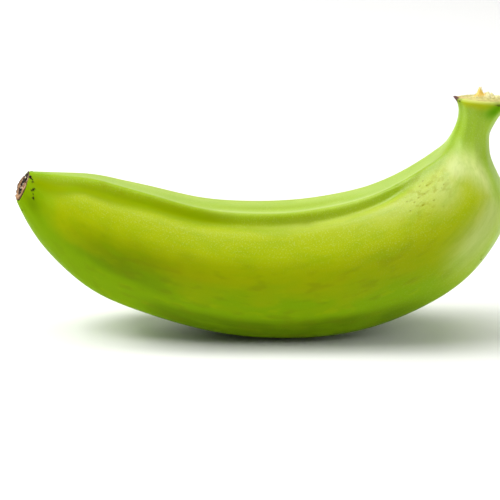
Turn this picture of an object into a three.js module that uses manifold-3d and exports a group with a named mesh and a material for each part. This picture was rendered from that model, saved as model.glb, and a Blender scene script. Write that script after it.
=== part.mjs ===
// A whole green plantain, one solid. Millimetres, +Z up.
// Its arc lies in the XZ plane with the blossom tip at -X and the cut stem at +X,
// and it rests on a small flat spot in the middle of its outer curve.

import * as THREE from "three";
import { mergeVertices } from "three/addons/utils/BufferGeometryUtils.js";
import Module from "manifold-3d";

// Stations from the blossom tip to the stem cut, seen from the side as [x, z].
// inner is a point of the hollow, upper rail and outer one of the round, lower rail.
// halfWidth is half the thickness across the arc; lean is how far the axis sways to -Y.
const STATIONS = [
  { inner: [-90.0, 66.3], outer: [-94.9, 55.2], halfWidth: 5.0, lean: 4.2 },
  { inner: [-81.0, 65.2], outer: [-89.1, 42.0], halfWidth: 11.5, lean: 2.2 },
  { inner: [-69.5, 63.8], outer: [-78.7, 28.9], halfWidth: 17.0, lean: 0.8 },
  { inner: [-56.0, 60.4], outer: [-64.8, 18.2], halfWidth: 21.5, lean: 0.2 },
  { inner: [-42.5, 57.0], outer: [-50.0, 11.8], halfWidth: 24.0, lean: 0 },
  { inner: [-27.0, 53.1], outer: [-32.5, 5.9], halfWidth: 25.5, lean: 0 },
  { inner: [-12.0, 51.4], outer: [-14.0, 1.6], halfWidth: 26.0, lean: 0 },
  { inner: [3.5, 51.2], outer: [4.0, 0.0], halfWidth: 26.2, lean: 0 },
  { inner: [19.0, 52.4], outer: [23.0, 0.6], halfWidth: 26.2, lean: 0 },
  { inner: [35.0, 55.6], outer: [42.5, 4.6], halfWidth: 26.0, lean: 0 },
  { inner: [49.0, 60.8], outer: [65.8, 14.7], halfWidth: 25.6, lean: 0 },
  { inner: [58.0, 65.8], outer: [81.0, 25.9], halfWidth: 25.3, lean: 0 },
  { inner: [63.6, 69.7], outer: [89.2, 37.0], halfWidth: 24.8, lean: 0 },
  { inner: [66.7, 72.5], outer: [93.9, 47.6], halfWidth: 23.6, lean: 0 },
  { inner: [68.6, 74.7], outer: [94.2, 56.5], halfWidth: 21.3, lean: 0 },
  { inner: [69.9, 76.7], outer: [91.2, 63.5], halfWidth: 17.8, lean: 0 },
  { inner: [71.0, 78.8], outer: [88.4, 69.0], halfWidth: 13.2, lean: 0 },
  { inner: [72.2, 81.4], outer: [86.8, 73.3], halfWidth: 9.4, lean: 0 },
  { inner: [73.4, 84.4], outer: [86.3, 77.6], halfWidth: 7.8, lean: 0 },
  { inner: [74.2, 87.3], outer: [86.4, 81.2], halfWidth: 7.4, lean: 0 },
  { inner: [74.4, 90.2], outer: [87.9, 84.8], halfWidth: 7.0, lean: 0 },
  { inner: [74.0, 92.6], outer: [90.8, 89.4], halfWidth: 7.1, lean: 0 },
  { inner: [73.2, 94.6], outer: [95.2, 93.4], halfWidth: 7.8, lean: 0 },
];

// Five lengthwise ridges, in order round the section, and the way their crests run. Angles
// are in degrees from the inner rail and grow towards -Y; place is along the axis, in mm.
const CRESTS = [
  { place: 0, angles: [9, 140, 218, 272, 336] },
  { place: 45, angles: [14, 140, 218, 272, 338] },
  { place: 110, angles: [20, 140, 218, 272, 339] },
  { place: 160, angles: [16, 139, 219, 272, 339] },
  { place: 185, angles: [15.5, 130, 222, 273, 339] },
  { place: 195, angles: [19, 120, 228, 275, 339] },
  { place: 204, angles: [20, 100, 235, 278, 339] },
  { place: 212, angles: [20, 84, 240, 280, 339] },
  { place: 235, angles: [20, 72, 240, 280, 339] },
];

// Heights are shares of the section's own radius and width is in mm round the skin.
// columns is the number of mesh columns from this ridge to the next.
const RIDGES = [
  { tipHeight: 0.06, height: 0.085, neckHeight: 0, width: 2.8, columns: 20 },
  { tipHeight: 0.03, height: 0.085, neckHeight: 0.01, width: 5.2, columns: 12 },
  { tipHeight: 0.03, height: 0.07, neckHeight: 0.01, width: 5.9, columns: 8 },
  { tipHeight: 0.02, height: 0.055, neckHeight: 0.01, width: 7.3, columns: 10 },
  { tipHeight: 0.05, height: 0.08, neckHeight: 0, width: 3.2, columns: 10 },
];

// A furrow beside each of the two upper ridges, offset mm from the crest. innerWidth is its
// width towards the crest and outerWidth away from it; all of it narrows towards the stem.
const FURROWS = [
  { ridge: 0, offset: 3.4, depth: 0.055, innerWidth: 2.2, outerWidth: 3.6 },
  { ridge: 4, offset: -3.6, depth: 0.045, innerWidth: 2.6, outerWidth: 3.6 },
];
const FURROW_TAPER = { start: 20, end: 175, startScale: 1.35, endScale: 0.65 };
const FURROW_TIP_FADE = [0, 14];
const FURROW_STEM_FADE = [50, 74];

const FACE_RADIUS = 0.985;
const NECK_RADIUS = 1;
const TIP_FADE = [0, 35];
const SHOULDER_FADE = [16, 38];
const SOLE = { depth: 0.035, angle: 180, width: 26 };

// The front of the shoulder is flattened inside its rim.
const FACET = { place: 193, angle: 72, length: 16, width: 30, depth: 0.05 };

// At the foot of the neck the section is egg-shaped, narrow at the inner rail.
const EGG = { share: 0.2, fromStem: 27, length: 14 };

const RING_COUNT = 80;
const END_CROWDING = 0.42;
const CREST_CROWDING = 0.7;

// Corky blossom scar: a low pad with a swollen rim round a crumbly hollow.
// Each row is [share of the tip's radius, height above the tip] from edge to centre.
const SCAR_PROFILE = [
  [1.0, 0.0],
  [0.92, 0.05],
  [0.94, 0.45],
  [0.89, 0.95],
  [0.77, 1.05],
  [0.6, 0.5],
  [0.42, 0.0],
  [0.2, 0.1],
  [0.0, 0.4],
];
// The scar sits this far towards the inner side, where its rim is lowered by this share.
const SCAR_SHIFT = 0.5;
const SCAR_TILT = 0.85;
const SCAR_CRUMB = { height: 0.25, lobes: 5, twist: 9 };

// Cut face of the stem, the same way, and what was torn up when the finger was pulled off.
const CUT_PROFILE = [
  [1.0, 0.0],
  [0.96, 0.35],
  [0.86, 0.3],
  [0.72, 0.45],
  [0.58, 0.35],
  [0.44, 0.5],
  [0.3, 0.45],
  [0.19, 0.5],
  [0.0, 0.5],
];
const TORN_TUFTS = [
  { towardInner: 2.1, towardFront: 0.2, height: 4.6, spread: 1.3 },
  { towardInner: -0.4, towardFront: -0.2, height: 2.6, spread: 2.2 },
  { towardInner: -2.4, towardFront: -1.0, height: 1.9, spread: 2.2 },
  { towardInner: -5.0, towardFront: -2.4, height: 1.2, spread: 2.4 },
  { towardInner: 4.2, towardFront: -0.8, height: 0.7, spread: 2.0 },
];
const TUFT_SHARPNESS = 1.5;
const TORN_CORNER = { reach: 1.1, rise: 0.9, width: 26, depth: 0.35 };

// The sole is planed off this far above the lowest point of the skin.
const FLAT_SPOT_DEPTH = 0.8;
const CUTTER_SIZE = 400;

const skinMaterial = new THREE.MeshStandardMaterial({
  color: 0x9bb81c,
  roughness: 0.42,
  metalness: 0,
});

// Natural cubic spline through the points (knots[i], values[i]).
function naturalSpline(knots, values) {
  const last = knots.length - 1;
  const bend = new Array(last + 1).fill(0);
  const carry = new Array(last + 1).fill(0);
  for (let i = 1; i < last; i += 1) {
    const before = knots[i] - knots[i - 1];
    const after = knots[i + 1] - knots[i];
    const kink = (values[i + 1] - values[i]) / after - (values[i] - values[i - 1]) / before;
    const pivot = 2 * (before + after) - before * carry[i - 1];
    carry[i] = after / pivot;
    bend[i] = (6 * kink - before * bend[i - 1]) / pivot;
  }
  for (let i = last - 1; i > 0; i -= 1) {
    bend[i] -= carry[i] * bend[i + 1];
  }
  return (place) => {
    let right = 1;
    while (right < last && place > knots[right]) {
      right += 1;
    }
    const gap = knots[right] - knots[right - 1];
    const a = (knots[right] - place) / gap;
    const b = 1 - a;
    const straight = a * values[right - 1] + b * values[right];
    const bow = (a ** 3 - a) * bend[right - 1] + (b ** 3 - b) * bend[right];
    return straight + (bow * gap ** 2) / 6;
  };
}

// Distance along the axis to each station, measured between the rails' midpoints.
function stationDistances() {
  const middles = STATIONS.map(({ inner, outer }) => {
    return new THREE.Vector2((inner[0] + outer[0]) / 2, (inner[1] + outer[1]) / 2);
  });
  const distances = [0];
  for (let i = 1; i < middles.length; i += 1) {
    distances.push(distances[i - 1] + middles[i].distanceTo(middles[i - 1]));
  }
  return distances;
}

const distances = stationDistances();
const axisLength = distances[distances.length - 1];
const rails = {
  innerX: naturalSpline(distances, STATIONS.map((station) => station.inner[0])),
  innerZ: naturalSpline(distances, STATIONS.map((station) => station.inner[1])),
  outerX: naturalSpline(distances, STATIONS.map((station) => station.outer[0])),
  outerZ: naturalSpline(distances, STATIONS.map((station) => station.outer[1])),
  halfWidth: naturalSpline(distances, STATIONS.map((station) => station.halfWidth)),
  lean: naturalSpline(distances, STATIONS.map((station) => station.lean)),
};

function axisPoint(place) {
  return new THREE.Vector3(
    (rails.innerX(place) + rails.outerX(place)) / 2,
    -rails.lean(place),
    (rails.innerZ(place) + rails.outerZ(place)) / 2,
  );
}

// The section's frame: centre, half-height vector to the inner rail, half-width vector
// to the front (-Y), and the unit normal that points to the stem.
function sectionAt(place) {
  const step = 0.5;
  const ahead = axisPoint(Math.min(place + step, axisLength));
  const behind = axisPoint(Math.max(place - step, 0));
  const along = ahead.sub(behind).normalize();
  const inward = new THREE.Vector3(
    (rails.innerX(place) - rails.outerX(place)) / 2,
    0,
    (rails.innerZ(place) - rails.outerZ(place)) / 2,
  );
  const front = along.clone().cross(inward).normalize();
  const normal = inward.clone().cross(front).normalize();
  front.multiplyScalar(rails.halfWidth(place));
  return { centre: axisPoint(place), inward, front, normal };
}

function bell(distance) {
  return Math.exp(-(distance ** 2));
}

function fade(place, [start, end]) {
  return THREE.MathUtils.smoothstep(place, start, end);
}

const crestPlaces = CRESTS.map((row) => row.place);
const crestAngles = RIDGES.map((ridge, index) => {
  return naturalSpline(crestPlaces, CRESTS.map((row) => row.angles[index]));
});

function degreesApart(a, b) {
  return THREE.MathUtils.euclideanModulo(a - b + 180, 360) - 180;
}

// Distance round the skin, in mm, from a ridge's crest to an angle.
function fromCrest(index, place, angle) {
  const height = Math.hypot(
    rails.innerX(place) - rails.outerX(place),
    rails.innerZ(place) - rails.outerZ(place),
  ) / 2;
  const girth = (height + rails.halfWidth(place)) / 2;
  return THREE.MathUtils.degToRad(degreesApart(angle, crestAngles[index](place))) * girth;
}

function furrowDepth(place, angle) {
  const share = fade(place, FURROW_TIP_FADE) * fade(axisLength - place, FURROW_STEM_FADE);
  const { start, end, startScale, endScale } = FURROW_TAPER;
  const scale = THREE.MathUtils.mapLinear(
    THREE.MathUtils.clamp(place, start, end), start, end, startScale, endScale,
  );
  let depth = 0;
  for (const furrow of FURROWS) {
    const away = fromCrest(furrow.ridge, place, angle) / scale - furrow.offset;
    const width = away * furrow.offset < 0 ? furrow.innerWidth : furrow.outerWidth;
    depth += furrow.depth * share * bell(away / width);
  }
  return depth;
}

// Radius of the section at an angle, as a share of its half-height and half-width:
// a round, a crest for each ridge, the furrows, the shoulder's facet and a flat along the sole.
function sectionRadius(place, angle) {
  const neck = 1 - fade(axisLength - place, SHOULDER_FADE);
  const tip = 1 - fade(place, TIP_FADE);
  const share = (1 - tip) * (1 - neck);
  let radius = THREE.MathUtils.lerp(FACE_RADIUS, NECK_RADIUS, neck);
  RIDGES.forEach((ridge, index) => {
    const away = fromCrest(index, place, angle) / ridge.width;
    const endHeight = THREE.MathUtils.lerp(ridge.neckHeight, ridge.tipHeight, tip);
    radius += THREE.MathUtils.lerp(endHeight, ridge.height, share) / (1 + away ** 2);
  });
  const alongFacet = (place - FACET.place) / FACET.length;
  const acrossFacet = degreesApart(angle, FACET.angle) / FACET.width;
  const facet = FACET.depth * bell(Math.hypot(alongFacet, acrossFacet));
  const sole = SOLE.depth * share * bell(degreesApart(angle, SOLE.angle) / SOLE.width);
  return radius - facet - sole - furrowDepth(place, angle);
}

// Offset from the section's centre to its skin at an angle.
function skinOffset(section, place, angle) {
  const turn = THREE.MathUtils.degToRad(angle);
  const radius = sectionRadius(place, angle);
  const egg = EGG.share * bell((axisLength - place - EGG.fromStem) / EGG.length);
  const breadth = 1 - egg * Math.cos(turn);
  return section.inward.clone().multiplyScalar(radius * Math.cos(turn))
    .addScaledVector(section.front, radius * Math.sin(turn) * breadth);
}

// Column angles at a place along the axis: they follow the ridges and crowd at the crests.
function columnAngles(place) {
  const angles = [];
  RIDGES.forEach((ridge, index) => {
    const start = crestAngles[index](place);
    const next = crestAngles[(index + 1) % RIDGES.length](place);
    const turn = THREE.MathUtils.euclideanModulo(next - start, 360);
    for (let i = 0; i < ridge.columns; i += 1) {
      const share = i / ridge.columns;
      const wave = Math.sin(2 * Math.PI * share) / (2 * Math.PI);
      angles.push(start + turn * (share - CREST_CROWDING * wave));
    }
  });
  return angles;
}

function bodyRings() {
  const rings = [];
  for (let i = 0; i < RING_COUNT; i += 1) {
    const share = i / (RING_COUNT - 1);
    const wave = Math.sin(2 * Math.PI * share) / (2 * Math.PI);
    const place = axisLength * (share - END_CROWDING * wave);
    const section = sectionAt(place);
    rings.push(columnAngles(place).map((angle) => {
      return skinOffset(section, place, angle).add(section.centre);
    }));
  }
  return rings;
}

// Rings of the blossom scar from its edge inwards, ending in one point.
function scarRings() {
  const section = sectionAt(0);
  const outward = section.normal.clone().negate();
  const upward = section.inward.clone().setLength(SCAR_SHIFT);
  return SCAR_PROFILE.slice(1).map(([share, height]) => {
    const angles = share > 0 ? columnAngles(0) : [0];
    return angles.map((angle) => {
      const turn = THREE.MathUtils.degToRad(angle);
      const wave = Math.sin(SCAR_CRUMB.lobes * turn + SCAR_CRUMB.twist * share);
      const tilted = height * (1 - SCAR_TILT * ((1 + Math.cos(turn)) / 2) ** 2);
      return skinOffset(section, 0, angle).multiplyScalar(share)
        .addScaledVector(outward, tilted + SCAR_CRUMB.height * wave * share)
        .add(upward)
        .add(section.centre);
    });
  });
}

// Height torn up out of the cut face at a point given by its offset from the centre.
function tuftHeight(section, offset) {
  const inner = section.inward.clone().normalize();
  const front = section.front.clone().normalize();
  let height = 0;
  for (const tuft of TORN_TUFTS) {
    const alongInner = (offset.dot(inner) - tuft.towardInner) / tuft.spread;
    const alongFront = (offset.dot(front) - tuft.towardFront) / tuft.spread;
    const away = Math.hypot(alongInner, alongFront);
    height = Math.max(height, tuft.height * Math.exp(-(away ** TUFT_SHARPNESS)));
  }
  return height;
}

// How much of the torn corner a point of the cut face has: 1 at its peak, 0 away from it.
function cornerShare(share, angle) {
  const away = degreesApart(angle, 0) / TORN_CORNER.width;
  const depth = (1 - share) / TORN_CORNER.depth;
  return Math.max(0, 1 - Math.abs(away)) * Math.max(0, 1 - depth);
}

// Rings of the stem's cut face from its edge inwards, ending in one point.
function cutRings() {
  const section = sectionAt(axisLength);
  return CUT_PROFILE.map(([share, height]) => {
    const angles = share > 0 ? columnAngles(axisLength) : [0];
    return angles.map((angle) => {
      const offset = skinOffset(section, axisLength, angle).multiplyScalar(share);
      const corner = cornerShare(share, angle);
      const pull = section.inward.clone().normalize().multiplyScalar(TORN_CORNER.reach * corner);
      const rise = height + tuftHeight(section, offset) + TORN_CORNER.rise * corner;
      return offset.add(pull).addScaledVector(section.normal, rise).add(section.centre);
    });
  });
}

// Triangles between two neighbouring rings, the first one nearer the tip.
// A ring of one point closes the surface.
function bandTriangles(ring, ringStart, next, nextStart) {
  const triangles = [];
  const columns = Math.max(ring.length, next.length);
  for (let j = 0; j < columns; j += 1) {
    const right = (j + 1) % columns;
    if (ring.length > 1) {
      const far = next.length > 1 ? nextStart + j : nextStart;
      triangles.push(ringStart + j, ringStart + right, far);
    }
    if (next.length > 1) {
      const near = ring.length > 1 ? ringStart + right : ringStart;
      triangles.push(near, nextStart + right, nextStart + j);
    }
  }
  return triangles;
}

function closedSurface(rings) {
  const positions = [];
  const triangles = [];
  let start = 0;
  rings.forEach((ring, index) => {
    ring.forEach((point) => positions.push(...point.toArray()));
    const next = rings[index + 1];
    if (next) {
      triangles.push(...bandTriangles(ring, start, next, start + ring.length));
    }
    start += ring.length;
  });
  const geometry = new THREE.BufferGeometry();
  geometry.setAttribute("position", new THREE.Float32BufferAttribute(positions, 3));
  geometry.setIndex(triangles);
  return geometry;
}

function toSolid(wasm, geometry) {
  const bare = geometry.clone();
  bare.deleteAttribute("normal");
  bare.deleteAttribute("uv");
  const merged = mergeVertices(bare);
  return new wasm.Manifold(new wasm.Mesh({
    numProp: 3,
    vertProperties: new Float32Array(merged.attributes.position.array),
    triVerts: new Uint32Array(merged.index.array),
  }));
}

function toGeometry(solid) {
  const mesh = solid.getMesh();
  const geometry = new THREE.BufferGeometry();
  geometry.setAttribute("position", new THREE.BufferAttribute(mesh.vertProperties, 3));
  geometry.setIndex(new THREE.BufferAttribute(mesh.triVerts, 1));
  return geometry;
}

// Planes the flat spot off the sole and stands the fruit on it, centred on the origin.
function restOnFlatSpot(wasm, fruit) {
  fruit.computeBoundingBox();
  const floor = fruit.boundingBox.min.z + FLAT_SPOT_DEPTH;
  const cutter = new THREE.BoxGeometry(CUTTER_SIZE, CUTTER_SIZE, CUTTER_SIZE);
  cutter.translate(0, 0, floor - CUTTER_SIZE / 2);
  const rested = toGeometry(toSolid(wasm, fruit).subtract(toSolid(wasm, cutter)));
  rested.computeBoundingBox();
  const middle = rested.boundingBox.getCenter(new THREE.Vector3());
  rested.translate(-middle.x, -middle.y, -rested.boundingBox.min.z);
  rested.computeVertexNormals();
  return rested;
}

const wasm = await Module();
wasm.setup();

const rings = [...scarRings().reverse(), ...bodyRings(), ...cutRings().slice(1)];
const plantain = new THREE.Mesh(restOnFlatSpot(wasm, closedSurface(rings)), skinMaterial);
plantain.name = "plantain";

const group = new THREE.Group();
group.add(plantain);

export default group;
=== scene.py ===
# A whole green plantain: fine peel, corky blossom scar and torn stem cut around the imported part.
# Forms are worked out in millimetres and turned into metres when a mesh is made.

import bpy
import numpy as np
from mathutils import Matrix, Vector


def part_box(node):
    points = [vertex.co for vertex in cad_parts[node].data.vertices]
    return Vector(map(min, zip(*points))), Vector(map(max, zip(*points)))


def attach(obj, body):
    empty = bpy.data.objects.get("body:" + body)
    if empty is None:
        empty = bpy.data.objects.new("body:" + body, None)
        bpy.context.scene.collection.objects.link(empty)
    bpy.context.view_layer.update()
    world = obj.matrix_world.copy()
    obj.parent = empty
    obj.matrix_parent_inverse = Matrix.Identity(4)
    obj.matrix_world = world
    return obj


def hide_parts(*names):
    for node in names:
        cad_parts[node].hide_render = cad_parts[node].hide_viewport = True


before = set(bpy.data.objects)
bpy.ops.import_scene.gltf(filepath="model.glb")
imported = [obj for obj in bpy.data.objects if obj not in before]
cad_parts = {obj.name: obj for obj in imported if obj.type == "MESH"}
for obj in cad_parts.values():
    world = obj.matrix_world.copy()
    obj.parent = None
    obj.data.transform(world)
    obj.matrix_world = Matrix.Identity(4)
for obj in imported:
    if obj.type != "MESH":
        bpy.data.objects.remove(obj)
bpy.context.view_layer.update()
print("frame loaded:", sorted(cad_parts))

mm = 0.001


def unit(vectors):
    # Each vector divided by its length.
    return vectors / np.linalg.norm(vectors, axis=-1, keepdims=True)


def smoothStep(low, high, value):
    # 0 below low, 1 above high and an even S-curve between them.
    share = np.clip((value - low) / (high - low), 0, 1)
    return share * share * (3 - 2 * share)


def degreesApart(a, b):
    # The turn from b to a, between -180 and 180 degrees.
    return (a - b + 180) % 360 - 180


def bell(distance):
    # exp(-distance squared): 1 at no distance, almost 0 at two.
    return np.exp(-distance ** 2)


def within(value, rise, fall):
    # 0 below the rising border, 1 between the two borders and 0 above the falling one.
    return smoothStep(*rise, value) * (1 - smoothStep(*fall, value))


def latticeNoise(points, cell, seed):
    # Random heights at the corners of a cubic lattice, blended smoothly between them, -1 to 1.
    # A corner's whole numbers, each times a hop, pick its height from one list.
    heights = np.random.default_rng(seed).random(4093)
    hops = np.array([73, 1171, 2903])
    grid = points / cell
    base = np.floor(grid).astype(int)
    part = grid - base
    part = part * part * (3 - 2 * part)
    total = np.zeros(points.shape[:-1])
    for corner in np.ndindex(2, 2, 2):
        weight = np.prod(np.where(corner, part, 1 - part), axis=-1)
        total += heights[(base + corner) @ hops % len(heights)] * weight
    return total * 2 - 1


def naturalSpline(knots, values, places):
    # Natural cubic spline: on each stretch the straight line between its knots plus a cubic
    # bow, whose second derivatives at the knots come from one small linear system.
    gaps = np.diff(knots)
    inner = np.arange(1, len(knots) - 1)
    system = np.eye(len(knots))
    system[inner, inner - 1] = gaps[:-1]
    system[inner, inner] = 2 * (gaps[:-1] + gaps[1:])
    system[inner, inner + 1] = gaps[1:]
    kinks = np.zeros(values.shape)
    kinks[inner] = 6 * np.diff(np.diff(values, axis=0) / gaps[:, None], axis=0)
    bends = np.linalg.solve(system, kinks)
    right = np.clip(np.searchsorted(knots, places), 1, len(knots) - 1)
    gap = gaps[right - 1][:, None]
    a = (knots[right] - places)[:, None] / gap
    b = 1 - a
    bow = (a ** 3 - a) * bends[right - 1] + (b ** 3 - b) * bends[right]
    return a * values[right - 1] + b * values[right] + bow * gap ** 2 / 6


# The fruit's form, the same as the part's.
fruit = {
    # from the blossom tip to the stem: inner rail x, z; outer rail x, z; half width; lean to -Y
    "stations": [
        [-90.0, 66.3, -94.9, 55.2, 5.0, 4.2],
        [-81.0, 65.2, -89.1, 42.0, 11.5, 2.2],
        [-69.5, 63.8, -78.7, 28.9, 17.0, 0.8],
        [-56.0, 60.4, -64.8, 18.2, 21.5, 0.2],
        [-42.5, 57.0, -50.0, 11.8, 24.0, 0.0],
        [-27.0, 53.1, -32.5, 5.9, 25.5, 0.0],
        [-12.0, 51.4, -14.0, 1.6, 26.0, 0.0],
        [3.5, 51.2, 4.0, 0.0, 26.2, 0.0],
        [19.0, 52.4, 23.0, 0.6, 26.2, 0.0],
        [35.0, 55.6, 42.5, 4.6, 26.0, 0.0],
        [49.0, 60.8, 65.8, 14.7, 25.6, 0.0],
        [58.0, 65.8, 81.0, 25.9, 25.3, 0.0],
        [63.6, 69.7, 89.2, 37.0, 24.8, 0.0],
        [66.7, 72.5, 93.9, 47.6, 23.6, 0.0],
        [68.6, 74.7, 94.2, 56.5, 21.3, 0.0],
        [69.9, 76.7, 91.2, 63.5, 17.8, 0.0],
        [71.0, 78.8, 88.4, 69.0, 13.2, 0.0],
        [72.2, 81.4, 86.8, 73.3, 9.4, 0.0],
        [73.4, 84.4, 86.3, 77.6, 7.8, 0.0],
        [74.2, 87.3, 86.4, 81.2, 7.4, 0.0],
        [74.4, 90.2, 87.9, 84.8, 7.0, 0.0],
        [74.0, 92.6, 90.8, 89.4, 7.1, 0.0],
        [73.2, 94.6, 95.2, 93.4, 7.8, 0.0],
    ],
    # one row per ridge: height at the tip, on the body and on the neck as shares of the radius,
    # width in mm
    "ridges": [
        [0.06, 0.085, 0.0, 2.8],
        [0.03, 0.085, 0.01, 5.2],
        [0.03, 0.07, 0.01, 5.9],
        [0.02, 0.055, 0.01, 7.3],
        [0.05, 0.08, 0.0, 3.2],
    ],
    # the way the five crests run: place along the axis and the angle of each
    "crests": [
        [0, 9, 140, 218, 272, 336],
        [45, 14, 140, 218, 272, 338],
        [110, 20, 140, 218, 272, 339],
        [160, 16, 139, 219, 272, 339],
        [185, 15.5, 130, 222, 273, 339],
        [195, 19, 120, 228, 275, 339],
        [204, 20, 100, 235, 278, 339],
        [212, 20, 84, 240, 280, 339],
        [235, 20, 72, 240, 280, 339],
    ],
    # a furrow below each of the two upper ridges: ridge, distance from its crest, depth, width
    # towards the crest and away from it
    "furrows": [[0, 3.4, 0.055, 2.2, 3.6], [4, -3.6, 0.045, 2.6, 3.6]],
    "furrowTaper": ((20, 175), (1.35, 0.65)),  # two places and how much wider the furrows are there
    "faceRadius": 0.985,
    "neckRadius": 1.0,
    "tipFade": (0, 35),
    "shoulderFade": (16, 38),
    # the front of the shoulder is flattened inside its rim: place, angle, length in mm, width in
    # degrees, depth
    "facet": (193, 72, 16, 30, 0.05),
    "furrowTipFade": (0, 14),
    "furrowStemFade": (50, 74),
    # at the foot of the neck the section is egg-shaped, most at this distance from the stem end
    "egg": 0.2,
    "eggPlace": 27,
    "eggLength": 14,
    "soleDepth": 0.035,
    "soleAngle": 180,
    "soleWidth": 26,
    "flatSpotDepth": 0.8,
    "tornCornerReach": 1.1,
    "tornCornerRise": 0.9,
    "tornCornerWidth": 26,
    "tornCornerDepth": 2.3,
    "cutRadius": 8,       # turns a share of the cut's radius into a depth from its edge
    "lipFront": (-2, 6),
    "lipRise": 1.0,
    "lipInset": 0.06,
}

stations = np.array(fruit["stations"])
ridges = np.array(fruit["ridges"], float)
middles = (stations[:, 0:2] + stations[:, 2:4]) / 2
strides = np.linalg.norm(np.diff(middles, axis=0), axis=1)
distances = np.concatenate([[0], np.cumsum(strides)])
axisLength = distances[-1]


def axisPoints(places):
    # Midpoint of the two rails, swayed towards -Y by the lean.
    row = naturalSpline(distances, stations, places)
    return np.stack([(row[:, 0] + row[:, 2]) / 2, -row[:, 5], (row[:, 1] + row[:, 3]) / 2], -1)


def sectionFrames(places):
    # Centre, half-height vector to the inner rail, half-width vector to -Y, unit normal to the stem.
    step = 0.5
    row = naturalSpline(distances, stations, places)
    ahead = axisPoints(np.minimum(places + step, axisLength))
    along = unit(ahead - axisPoints(np.maximum(places - step, 0)))
    inward = np.stack([(row[:, 0] - row[:, 2]) / 2, 0 * places, (row[:, 1] - row[:, 3]) / 2], -1)
    front = unit(np.cross(along, inward))
    normal = unit(np.cross(inward, front))
    return axisPoints(places), inward, front * row[:, 4:5], normal


def endFrame(place):
    # One end's middle, the ways to its inner side and its front, and the stem's way along the axis.
    centre, inward, front, normal = (rows[0] for rows in sectionFrames(np.array([place])))
    return {"centre": centre, "inner": unit(inward), "front": unit(front), "out": normal}


def ridgeAngles(places):
    # Each crest's angle at the places, on a natural spline through its rows.
    crests = np.array(fruit["crests"], float)
    return naturalSpline(crests[:, 0], crests[:, 1:], places)


def bodyShare(places, tip="tipFade", stem="shoulderFade"):
    # 1 along the body, falling to 0 at the tip and through the shoulder into the neck.
    return smoothStep(*fruit[tip], places) * smoothStep(*fruit[stem], axisLength - places)


def sectionRadius(places, angles):
    # A round, plus for each ridge height / (1 + (distance from the crest / width) squared), less
    # bells: a furrow below each upper ridge, a flat on the shoulder's front and one along the sole.
    share = bodyShare(places)[:, None]
    tip = 1 - smoothStep(*fruit["tipFade"], places)[:, None]
    crests = ridgeAngles(places)
    row = naturalSpline(distances, stations, places)
    girth = (np.hypot(row[:, 0] - row[:, 2], row[:, 1] - row[:, 3]) / 2 + row[:, 4])[:, None] / 2
    radius = np.full(angles.shape, fruit["faceRadius"])
    neck = 1 - smoothStep(*fruit["shoulderFade"], axisLength - places)[:, None]
    radius += (fruit["neckRadius"] - fruit["faceRadius"]) * neck
    facetPlace, facetAngle, facetLength, facetWidth, facetDepth = fruit["facet"]
    facet = bell((places[:, None] - facetPlace) / facetLength)
    radius -= facetDepth * facet * bell(degreesApart(angles, facetAngle) / facetWidth)
    for k, (tipHeight, height, neckHeight, width) in enumerate(ridges):
        away = np.radians(degreesApart(angles, crests[:, k:k + 1])) * girth / width
        ends = neckHeight + (tipHeight - neckHeight) * tip
        radius += (ends + (height - ends) * share) / (1 + away ** 2)
    furrowShare = bodyShare(places, "furrowTipFade", "furrowStemFade")[:, None]
    taper = np.interp(places, *fruit["furrowTaper"])[:, None]
    for ridge, offset, depth, innerWidth, outerWidth in fruit["furrows"]:
        away = np.radians(degreesApart(angles, crests[:, ridge:ridge + 1])) * girth / taper - offset
        width = np.where(away * offset < 0, innerWidth, outerWidth)
        radius -= depth * furrowShare * bell(away / width)
    fromSole = degreesApart(angles, fruit["soleAngle"]) / fruit["soleWidth"]
    return radius - fruit["soleDepth"] * share * bell(fromSole)


def skinOffsets(places, angles):
    # From the section's centre to its skin: radius * (cos * half-height + sin * half-width).
    # The half-width is smaller near the inner rail at the foot of the neck, greater near the outer.
    inward, front = sectionFrames(places)[1:3]
    turn = np.radians(angles)
    radius = sectionRadius(places, angles)
    foot = bell((axisLength - places - fruit["eggPlace"]) / fruit["eggLength"])[:, None]
    breadth = 1 - fruit["egg"] * foot * np.cos(turn)
    across = (radius * np.cos(turn))[..., None] * inward[:, None]
    return across + (radius * np.sin(turn) * breadth)[..., None] * front[:, None]


def columnAngles(places, count):
    # Angles round the section: shared out between the ridges by their turn and crowded at the
    # crests, so that every crest runs along one column.
    crests = ridgeAngles(places)
    turns = (np.roll(crests, -1, axis=1) - crests) % 360
    body = np.array(fruit["crests"][3][1:], float)
    shares = np.floor(count * np.diff(np.append(body, body[0] + 360)) / 360).astype(int)
    shares[0] += count - shares.sum()
    crowding = peel["crestCrowding"]
    angles = []
    for k, columns in enumerate(shares):
        share = np.arange(columns) / columns
        share = share - crowding * np.sin(2 * np.pi * share) / (2 * np.pi)
        angles.append(crests[:, k:k + 1] + turns[:, k:k + 1] * share)
    return np.concatenate(angles, axis=1)


def placeInFrame(points):
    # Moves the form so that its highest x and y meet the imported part's and its flat spot lies at 0.
    return points + frameShift


def findFrameShift():
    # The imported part's box less the box of the bare form.
    places = np.linspace(0, axisLength, 500)
    angles = np.tile(np.arange(0.0, 360.0), (len(places), 1))
    points = axisPoints(places)[:, None] + skinOffsets(places, angles)
    low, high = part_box("plantain")
    top = points.max((0, 1))
    return np.array([high.x / mm - top[0], high.y / mm - top[1],
                     low.z / mm - points[..., 2].min() - fruit["flatSpotDepth"]])


tipEnd, stemEnd = endFrame(0.0), endFrame(axisLength)
frameShift = findFrameShift()
print("form fitted on the frame, shift in mm:", frameShift.round(2))


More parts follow.
